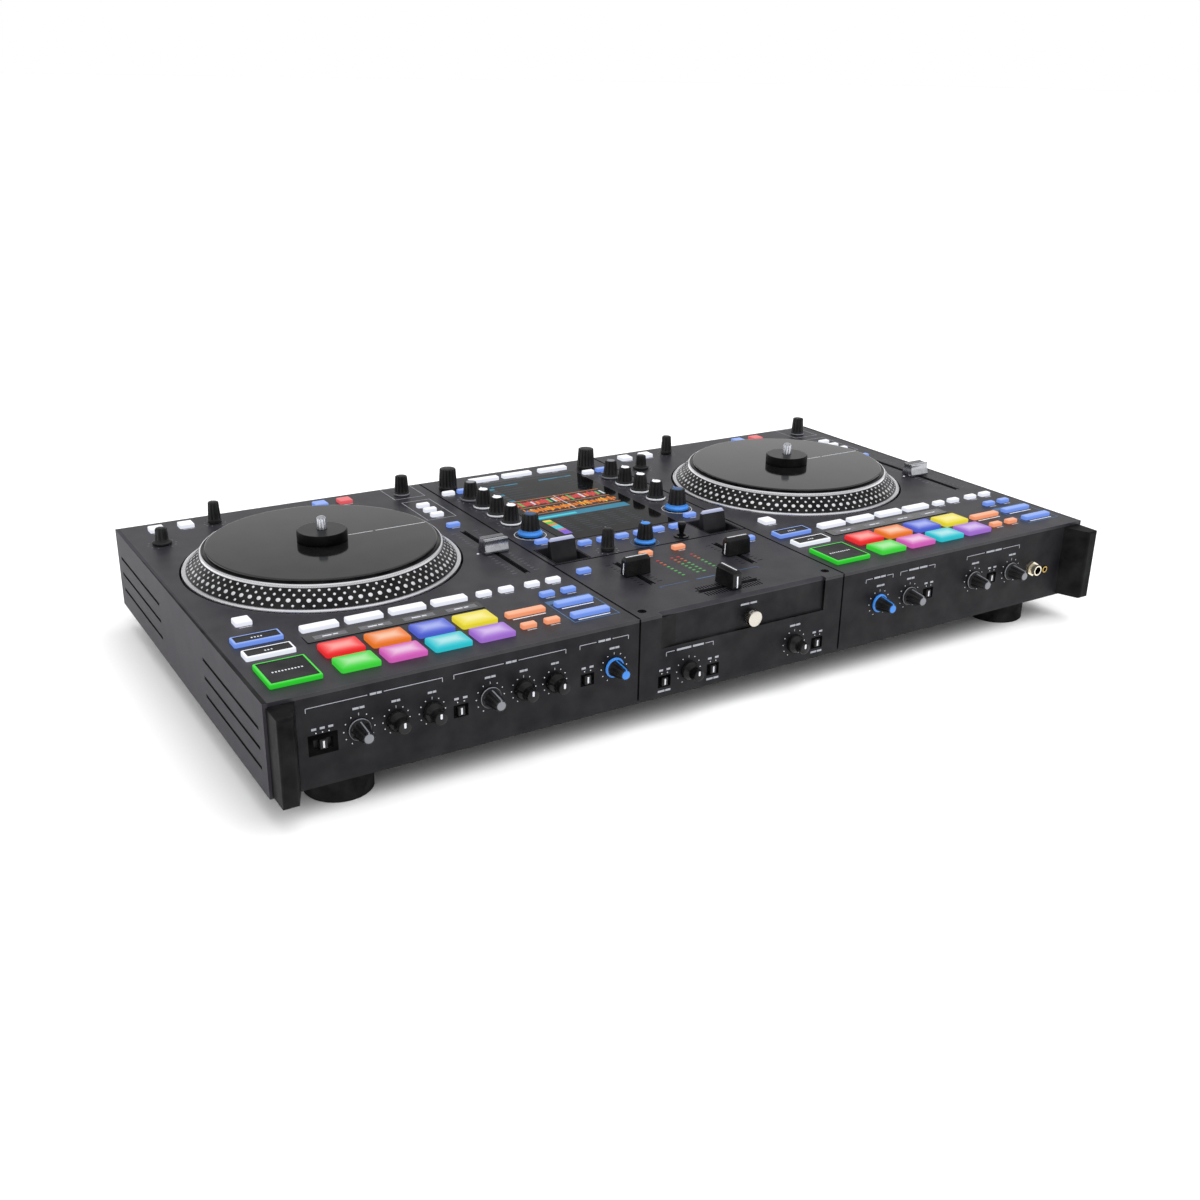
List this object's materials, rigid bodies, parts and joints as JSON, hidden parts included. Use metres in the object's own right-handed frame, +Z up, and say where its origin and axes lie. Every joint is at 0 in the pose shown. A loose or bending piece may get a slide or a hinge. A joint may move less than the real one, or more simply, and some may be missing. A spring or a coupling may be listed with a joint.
{
  "type": "all-in-one dj system",
  "caption": "Flat DJ controller case with motor platters, portrait touch screen, mixer knobs, faders, effect paddles, lit pads, front knobs and sockets, on round feet.",
  "frame": {"origin": "middle of the footprint, on the surface that the feet stand on", "axes": "+X to the player's right, +Y away from the player, +Z up"},
  "size_m": [0.72, 0.396, 0.1225],
  "materials": {
    "top_paint": "satin",
    "front_paint": "satin",
    "side_metal": "satin",
    "grip_plastic": "fine grain",
    "foot_rubber": "matte",
    "screen_glass": "polished",
    "strip_gloss": "polished",
    "motor_steel": "brushed",
    "board_green": "solder mask",
    "socket_metal": "nickel plated",
    "screw_steel": "black oxide",
    "platter_metal": "machined",
    "disc_vinyl": "polished",
    "adapter_plastic": "polished",
    "bright_chrome": "polished",
    "cap_plastic": "satin",
    "knob_rubber": "soft touch",
    "knob_blue": "satin",
    "lit_white": "lit",
    "lit_blue": "lit",
    "pad_rubber": "lit",
    "tension_nickel": "nickel plated"
  },
  "bodies": {
    "case": {"lower_case": "front_paint", "side_panels": "side_metal", "front_panels": "front_paint", "deck_plates": "top_paint", "label_strips": "strip_gloss", "mixer_plate": "top_paint", "fader_plate": "top_paint", "corner_grips": "grip_plastic", "feet": "foot_rubber", "touch_screen": "screen_glass", "platter_motors": "motor_steel", "circuit_boards": "board_green", "connectors": "socket_metal", "screws": "screw_steel", "front_trim_knobs": "knob_rubber"},
    "adapter_left": {"adapter_left": "adapter_plastic"},
    "adapter_right": {"adapter_right": "adapter_plastic"},
    "browse_encoder_left": {"browse_encoder_left": "knob_rubber"},
    "browse_encoder_right": {"browse_encoder_right": "knob_rubber"},
    "channel_fader_left": {"channel_fader_left": "cap_plastic"},
    "channel_fader_right": {"channel_fader_right": "cap_plastic"},
    "crossfader": {"crossfader": "cap_plastic"},
    "cue_mix_knob": {"cue_mix_knob": "knob_rubber"},
    "deck_buttons_left": {"deck_buttons_left": "lit_white"},
    "deck_buttons_right": {"deck_buttons_right": "lit_white"},
    "disc_left": {"disc_left": "disc_vinyl"},
    "disc_right": {"disc_right": "disc_vinyl"},
    "effect_depth_knob": {"effect_depth_knob": "knob_blue"},
    "effect_paddle_left": {"effect_paddle_left": "cap_plastic"},
    "effect_paddle_right": {"effect_paddle_right": "cap_plastic"},
    "fader_tension_knob": {"fader_tension_knob": "tension_nickel"},
    "filter_knob_left": {"filter_knob_left": "knob_blue"},
    "filter_knob_right": {"filter_knob_right": "knob_blue"},
    "flared_knob_left": {"flared_knob_left": "knob_rubber"},
    "flared_knob_right": {"flared_knob_right": "knob_rubber"},
    "high_knob_left": {"high_knob_left": "knob_rubber"},
    "high_knob_right": {"high_knob_right": "knob_rubber"},
    "low_knob_left": {"low_knob_left": "knob_rubber"},
    "low_knob_right": {"low_knob_right": "knob_rubber"},
    "mic_effect_knob": {"mic_effect_knob": "knob_blue"},
    "mic_level_knob_1": {"mic_level_knob_1": "knob_rubber"},
    "mic_level_knob_2": {"mic_level_knob_2": "knob_rubber"},
    "mid_knob_left": {"mid_knob_left": "knob_rubber"},
    "mid_knob_right": {"mid_knob_right": "knob_rubber"},
    "mixer_buttons": {"mixer_buttons": "lit_blue"},
    "pads_left": {"pads_left": "pad_rubber"},
    "pads_right": {"pads_right": "pad_rubber"},
    "pitch_fader_left": {"pitch_fader_left": "bright_chrome"},
    "pitch_fader_right": {"pitch_fader_right": "bright_chrome"},
    "platter_left": {"platter_left": "platter_metal"},
    "platter_right": {"platter_right": "platter_metal"},
    "rear_encoder_left": {"rear_encoder_left": "knob_rubber"},
    "rear_encoder_right": {"rear_encoder_right": "knob_rubber"},
    "sampler_knob": {"sampler_knob": "knob_blue"},
    "slide_switches": {"slide_switches": "lit_white"},
    "slim_knob_left": {"slim_knob_left": "knob_rubber"},
    "slim_knob_right": {"slim_knob_right": "knob_rubber"},
    "toggle_lever": {"toggle_lever": "cap_plastic"},
    "trim_knob_left": {"trim_knob_left": "knob_rubber"},
    "trim_knob_right": {"trim_knob_right": "knob_rubber"}
  },
  "joints": [
    {"name": "platter_left_turn", "type": "hinge", "parent": "case", "child": "platter_left", "pos_m": [-0.24025, 0.0375, 0.0865], "axis": [0, 0, 1], "continuous": true},
    {"name": "disc_left_turn", "type": "hinge", "parent": "platter_left", "child": "disc_left", "pos_m": [-0.24025, 0.0375, 0.1019], "axis": [0, 0, 1], "continuous": true},
    {"name": "adapter_left_lift", "type": "slide", "parent": "disc_left", "child": "adapter_left", "axis": [0, 0, 1], "range_m": [0, 0.022]},
    {"name": "pitch_fader_left_slide", "type": "slide", "parent": "case", "child": "pitch_fader_left", "axis": [0, 1, 0], "range_m": [-0.0518, 0.0518]},
    {"name": "flared_knob_left_turn", "type": "hinge", "parent": "case", "child": "flared_knob_left", "pos_m": [-0.33625, 0.136, 0.0865], "axis": [0, 0, 1], "continuous": true},
    {"name": "slim_knob_left_turn", "type": "hinge", "parent": "case", "child": "slim_knob_left", "pos_m": [-0.28525, 0.168, 0.0865], "axis": [0, 0, 1], "range_deg": [-150, 150]},
    {"name": "rear_encoder_left_turn", "type": "hinge", "parent": "case", "child": "rear_encoder_left", "pos_m": [-0.11935, 0.1665, 0.0865], "axis": [0, 0, 1], "continuous": true},
    {"name": "pads_left_press", "type": "slide", "parent": "case", "child": "pads_left", "axis": [0, 0, -1], "range_m": [0, 0.0012], "stiffness_N_per_m": 2000, "springref_m": -0.0008},
    {"name": "deck_buttons_left_press", "type": "slide", "parent": "case", "child": "deck_buttons_left", "axis": [0, 0, -1], "range_m": [0, 0.0012], "stiffness_N_per_m": 2000, "springref_m": -0.0008},
    {"name": "trim_knob_left_turn", "type": "hinge", "parent": "case", "child": "trim_knob_left", "pos_m": [-0.0724, 0.1245, 0.0865], "axis": [0, 0, 1], "range_deg": [-150, 150]},
    {"name": "high_knob_left_turn", "type": "hinge", "parent": "case", "child": "high_knob_left", "pos_m": [-0.0724, 0.0997, 0.0865], "axis": [0, 0, 1], "range_deg": [-150, 150]},
    {"name": "mid_knob_left_turn", "type": "hinge", "parent": "case", "child": "mid_knob_left", "pos_m": [-0.0724, 0.0744, 0.0865], "axis": [0, 0, 1], "range_deg": [-150, 150]},
    {"name": "low_knob_left_turn", "type": "hinge", "parent": "case", "child": "low_knob_left", "pos_m": [-0.0724, 0.049, 0.0865], "axis": [0, 0, 1], "range_deg": [-150, 150]},
    {"name": "filter_knob_left_turn", "type": "hinge", "parent": "case", "child": "filter_knob_left", "pos_m": [-0.0724, 0.0161, 0.0865], "axis": [0, 0, 1], "range_deg": [-150, 150]},
    {"name": "browse_encoder_left_turn", "type": "hinge", "parent": "case", "child": "browse_encoder_left", "pos_m": [-0.077, 0.1606, 0.0865], "axis": [0, 0, 1], "continuous": true},
    {"name": "effect_paddle_left_turn", "type": "hinge", "parent": "case", "child": "effect_paddle_left", "pos_m": [-0.0726, -0.036, 0.0775], "axis": [1, 0, 0], "range_deg": [-14, 14], "stiffness_Nm_per_rad": 0.05},
    {"name": "channel_fader_left_slide", "type": "slide", "parent": "case", "child": "channel_fader_left", "axis": [0, 1, 0], "range_m": [-0.0203, 0.0257]},
    {"name": "platter_right_turn", "type": "hinge", "parent": "case", "child": "platter_right", "pos_m": [0.20965, 0.0375, 0.0865], "axis": [0, 0, 1], "continuous": true},
    {"name": "disc_right_turn", "type": "hinge", "parent": "platter_right", "child": "disc_right", "pos_m": [0.20965, 0.0375, 0.1019], "axis": [0, 0, 1], "continuous": true},
    {"name": "adapter_right_lift", "type": "slide", "parent": "disc_right", "child": "adapter_right", "axis": [0, 0, 1], "range_m": [0, 0.022]},
    {"name": "pitch_fader_right_slide", "type": "slide", "parent": "case", "child": "pitch_fader_right", "axis": [0, 1, 0], "range_m": [-0.0518, 0.0518]},
    {"name": "flared_knob_right_turn", "type": "hinge", "parent": "case", "child": "flared_knob_right", "pos_m": [0.11365, 0.136, 0.0865], "axis": [0, 0, 1], "continuous": true},
    {"name": "slim_knob_right_turn", "type": "hinge", "parent": "case", "child": "slim_knob_right", "pos_m": [0.16465, 0.168, 0.0865], "axis": [0, 0, 1], "range_deg": [-150, 150]},
    {"name": "rear_encoder_right_turn", "type": "hinge", "parent": "case", "child": "rear_encoder_right", "pos_m": [0.33055, 0.1665, 0.0865], "axis": [0, 0, 1], "continuous": true},
    {"name": "pads_right_press", "type": "slide", "parent": "case", "child": "pads_right", "axis": [0, 0, -1], "range_m": [0, 0.0012], "stiffness_N_per_m": 2000, "springref_m": -0.0008},
    {"name": "deck_buttons_right_press", "type": "slide", "parent": "case", "child": "deck_buttons_right", "axis": [0, 0, -1], "range_m": [0, 0.0012], "stiffness_N_per_m": 2000, "springref_m": -0.0008},
    {"name": "trim_knob_right_turn", "type": "hinge", "parent": "case", "child": "trim_knob_right", "pos_m": [0.0724, 0.1245, 0.0865], "axis": [0, 0, 1], "range_deg": [-150, 150]},
    {"name": "high_knob_right_turn", "type": "hinge", "parent": "case", "child": "high_knob_right", "pos_m": [0.0724, 0.0997, 0.0865], "axis": [0, 0, 1], "range_deg": [-150, 150]},
    {"name": "mid_knob_right_turn", "type": "hinge", "parent": "case", "child": "mid_knob_right", "pos_m": [0.0724, 0.0744, 0.0865], "axis": [0, 0, 1], "range_deg": [-150, 150]},
    {"name": "low_knob_right_turn", "type": "hinge", "parent": "case", "child": "low_knob_right", "pos_m": [0.0724, 0.049, 0.0865], "axis": [0, 0, 1], "range_deg": [-150, 150]},
    {"name": "filter_knob_right_turn", "type": "hinge", "parent": "case", "child": "filter_knob_right", "pos_m": [0.0724, 0.0161, 0.0865], "axis": [0, 0, 1], "range_deg": [-150, 150]},
    {"name": "browse_encoder_right_turn", "type": "hinge", "parent": "case", "child": "browse_encoder_right", "pos_m": [0.067, 0.1604, 0.0865], "axis": [0, 0, 1], "continuous": true},
    {"name": "effect_paddle_right_turn", "type": "hinge", "parent": "case", "child": "effect_paddle_right", "pos_m": [0.0726, -0.036, 0.0775], "axis": [1, 0, 0], "range_deg": [-14, 14], "stiffness_Nm_per_rad": 0.05},
    {"name": "channel_fader_right_slide", "type": "slide", "parent": "case", "child": "channel_fader_right", "axis": [0, 1, 0], "range_m": [-0.0203, 0.0257]},
    {"name": "crossfader_slide", "type": "slide", "parent": "case", "child": "crossfader", "axis": [1, 0, 0], "range_m": [-0.0244, 0.0244]},
    {"name": "effect_depth_knob_turn", "type": "hinge", "parent": "case", "child": "effect_depth_knob", "pos_m": [-0.0006, -0.0444, 0.0865], "axis": [0, 0, 1], "range_deg": [-150, 150]},
    {"name": "cue_mix_knob_turn", "type": "hinge", "parent": "case", "child": "cue_mix_knob", "pos_m": [-0.0373, -0.0464, 0.0865], "axis": [0, 0, 1], "range_deg": [-150, 150]},
    {"name": "toggle_lever_turn", "type": "hinge", "parent": "case", "child": "toggle_lever", "pos_m": [0.0334, -0.0467, 0.081], "axis": [1, 0, 0], "range_deg": [-12, 12], "stiffness_Nm_per_rad": 0.02},
    {"name": "mixer_buttons_press", "type": "slide", "parent": "case", "child": "mixer_buttons", "axis": [0, 0, -1], "range_m": [0, 0.0012], "stiffness_N_per_m": 2000, "springref_m": -0.0008},
    {"name": "mic_level_knob_1_turn", "type": "hinge", "parent": "case", "child": "mic_level_knob_1", "pos_m": [-0.3003, -0.178, 0.0551], "axis": [0, -1, 0], "range_deg": [-150, 150]},
    {"name": "mic_level_knob_2_turn", "type": "hinge", "parent": "case", "child": "mic_level_knob_2", "pos_m": [-0.2091, -0.178, 0.0551], "axis": [0, -1, 0], "range_deg": [-150, 150]},
    {"name": "mic_effect_knob_turn", "type": "hinge", "parent": "case", "child": "mic_effect_knob", "pos_m": [-0.1134, -0.178, 0.0551], "axis": [0, -1, 0], "range_deg": [-150, 150]},
    {"name": "sampler_knob_turn", "type": "hinge", "parent": "case", "child": "sampler_knob", "pos_m": [0.1316, -0.178, 0.0551], "axis": [0, -1, 0], "range_deg": [-150, 150]},
    {"name": "fader_tension_knob_turn", "type": "hinge", "parent": "case", "child": "fader_tension_knob", "pos_m": [0.0045, -0.178, 0.0691], "axis": [0, -1, 0], "range_deg": [-150, 150]},
    {"name": "slide_switches_slide", "type": "slide", "parent": "case", "child": "slide_switches", "axis": [1, 0, 0], "range_m": [-0.0018, 0.0018]}
  ]
}
